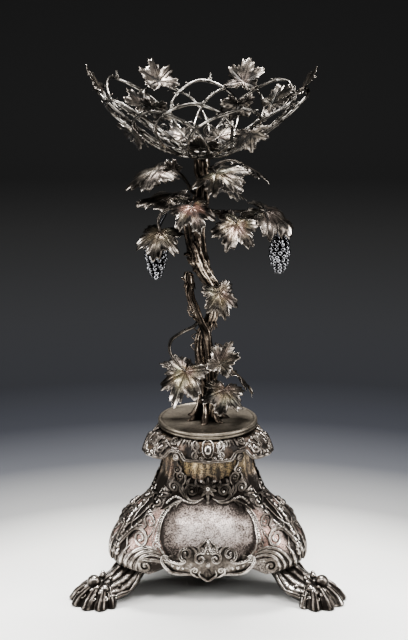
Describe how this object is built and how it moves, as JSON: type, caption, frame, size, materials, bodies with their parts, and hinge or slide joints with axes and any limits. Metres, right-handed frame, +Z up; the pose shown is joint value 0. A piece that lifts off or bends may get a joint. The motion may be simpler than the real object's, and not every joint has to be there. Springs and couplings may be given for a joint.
{
  "type": "table centrepiece",
  "caption": "Silver-plated table centrepiece: an openwork basket of twigs and vine leaves lifts off a grapevine stem on a three-footed scrolled base.",
  "frame": {"origin": "on the table, under the middle of the whole outline; the axis of the base and the plate stands 27.3 mm in front of it, because only the back foot reaches far back, and the vine leans, so the middle of the basket is 6.2 mm to the left of that axis", "axes": "+Z up the vine, -Y towards the front panel of the base, +Y over the back foot, +X to the right"},
  "size_m": [0.2906, 0.2714, 0.5503],
  "materials": {
    "base": "worn silver plate, dark in the hollows",
    "foot": "worn silver plate, dark in the hollows",
    "mount": "worn silver plate, dark in the hollows",
    "plate": "dull, brown-stained silver plate",
    "steel": "plain machined steel",
    "bark": "dark tarnished plate over a bark texture",
    "leaf": "satin silver plate with warm tarnish",
    "grape": "bright berries, dark between them",
    "twig": "worn silver plate, dark at the joints"
  },
  "bodies": {
    "stand": {"base_shell": "base", "foot_1": "foot", "foot_2": "foot", "foot_3": "foot", "collar": "mount", "apron_mount_1": "mount", "apron_mount_2": "mount", "apron_mount_3": "mount", "crest_mount_1": "mount", "crest_mount_2": "mount", "crest_mount_3": "mount", "round_plate": "plate", "foot_screw_1": "steel", "foot_screw_2": "steel", "foot_screw_3": "steel", "tie_rod": "steel", "wing_nut": "steel", "trunk": "bark", "side_stem": "bark", "lower_leaf_1": "leaf", "lower_leaf_2": "leaf", "lower_leaf_3": "leaf", "lower_leaf_4": "leaf", "lower_leaf_5": "leaf", "middle_leaf": "leaf", "upper_leaf_1": "leaf", "upper_leaf_2": "leaf", "upper_leaf_3": "leaf", "upper_leaf_4": "leaf", "upper_leaf_5": "leaf", "upper_leaf_6": "leaf", "upper_leaf_7": "leaf", "upper_leaf_8": "leaf", "upper_leaf_9": "leaf", "grape_bunch_1": "grape", "grape_bunch_2": "grape"},
    "basket": {"basket_hub": "twig", "basket_twig_1": "twig", "basket_twig_2": "twig", "basket_twig_3": "twig", "basket_twig_4": "twig", "basket_twig_5": "twig", "basket_twig_6": "twig", "basket_twig_7": "twig", "basket_twig_8": "twig", "basket_twig_9": "twig", "basket_twig_10": "twig", "basket_twig_11": "twig", "basket_twig_12": "twig", "rim_leaf_1": "leaf", "rim_leaf_2": "leaf", "rim_leaf_3": "leaf", "rim_leaf_4": "leaf", "rim_leaf_5": "leaf", "rim_leaf_6": "leaf", "basket_leaf_1": "leaf", "basket_leaf_2": "leaf", "basket_leaf_3": "leaf", "basket_leaf_4": "leaf", "hub_spray": "leaf"}
  },
  "joints": [
    {"name": "basket_lift", "type": "slide", "parent": "stand", "child": "basket", "axis": [0, 0, 1], "range_m": [0, 0.06]}
  ]
}
